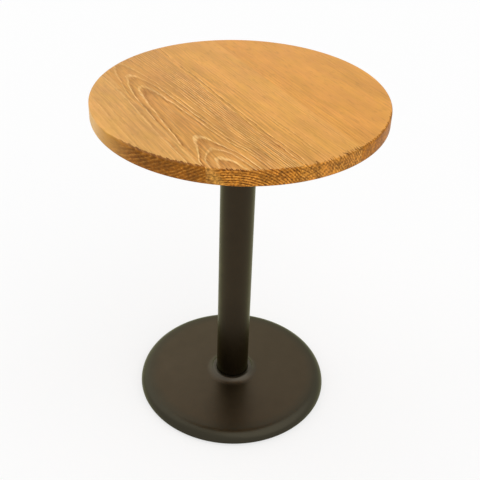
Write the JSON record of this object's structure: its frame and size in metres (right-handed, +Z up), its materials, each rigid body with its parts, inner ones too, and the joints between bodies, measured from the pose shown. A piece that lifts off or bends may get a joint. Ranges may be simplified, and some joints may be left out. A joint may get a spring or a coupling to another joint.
{
  "type": "pub table",
  "caption": "Round pedestal pub table: edge-glued timber top on a cast spider, a tubular steel column and a heavy dished cast base with levelling feet.",
  "frame": {"origin": "on the floor, under the column's axis", "axes": "+Z up along the column, -Y towards the side that the picture was taken from, +X to its right"},
  "size_m": [0.6, 0.6, 0.766],
  "materials": {
    "lacquered_wood": "satin lacquer",
    "coated_cast_iron": "satin bronze-black powder coat",
    "coated_steel": "satin bronze-black powder coat",
    "zinc_plated_steel": "bright zinc plate",
    "black_nylon": "moulded"
  },
  "bodies": {
    "table": {"base_casting": "coated_cast_iron", "column_tube": "coated_steel", "top_spider": "coated_cast_iron", "spider_screws": "zinc_plated_steel", "tie_rod": "zinc_plated_steel", "base_plate_washer": "zinc_plated_steel", "base_spring_washer": "zinc_plated_steel", "base_clamp_nut": "zinc_plated_steel", "top_clamp_washer": "zinc_plated_steel", "top_clamp_nut": "zinc_plated_steel", "top_stave_1": "lacquered_wood", "top_stave_2": "lacquered_wood", "top_stave_3": "lacquered_wood", "top_stave_4": "lacquered_wood", "top_stave_5": "lacquered_wood"},
    "pad_1": {"foot_pad_1": "black_nylon"},
    "stud_1": {"foot_stud_1": "zinc_plated_steel"},
    "pad_2": {"foot_pad_2": "black_nylon"},
    "stud_2": {"foot_stud_2": "zinc_plated_steel"},
    "pad_3": {"foot_pad_3": "black_nylon"},
    "stud_3": {"foot_stud_3": "zinc_plated_steel"},
    "pad_4": {"foot_pad_4": "black_nylon"},
    "stud_4": {"foot_stud_4": "zinc_plated_steel"}
  },
  "joints": [
    {"name": "foot_1_lift", "type": "slide", "parent": "table", "child": "pad_1", "axis": [0, 0, -1], "range_m": [0, 0.007]},
    {"name": "foot_1_turn", "type": "hinge", "parent": "pad_1", "child": "stud_1", "pos_m": [0.12587, 0.12587, 0.012], "axis": [0, 0, -1], "range_deg": [0, 2016]},
    {"name": "foot_2_lift", "type": "slide", "parent": "table", "child": "pad_2", "axis": [0, 0, -1], "range_m": [0, 0.007]},
    {"name": "foot_2_turn", "type": "hinge", "parent": "pad_2", "child": "stud_2", "pos_m": [-0.12587, 0.12587, 0.012], "axis": [0, 0, -1], "range_deg": [0, 2016]},
    {"name": "foot_3_lift", "type": "slide", "parent": "table", "child": "pad_3", "axis": [0, 0, -1], "range_m": [0, 0.007]},
    {"name": "foot_3_turn", "type": "hinge", "parent": "pad_3", "child": "stud_3", "pos_m": [-0.12587, -0.12587, 0.012], "axis": [0, 0, -1], "range_deg": [0, 2016]},
    {"name": "foot_4_lift", "type": "slide", "parent": "table", "child": "pad_4", "axis": [0, 0, -1], "range_m": [0, 0.007]},
    {"name": "foot_4_turn", "type": "hinge", "parent": "pad_4", "child": "stud_4", "pos_m": [0.12587, -0.12587, 0.012], "axis": [0, 0, -1], "range_deg": [0, 2016]}
  ],
  "couplings": [
    {"joint": "foot_1_lift", "follows": "foot_1_turn", "m_per_rad": 0.00019894},
    {"joint": "foot_2_lift", "follows": "foot_2_turn", "m_per_rad": 0.00019894},
    {"joint": "foot_3_lift", "follows": "foot_3_turn", "m_per_rad": 0.00019894},
    {"joint": "foot_4_lift", "follows": "foot_4_turn", "m_per_rad": 0.00019894}
  ]
}
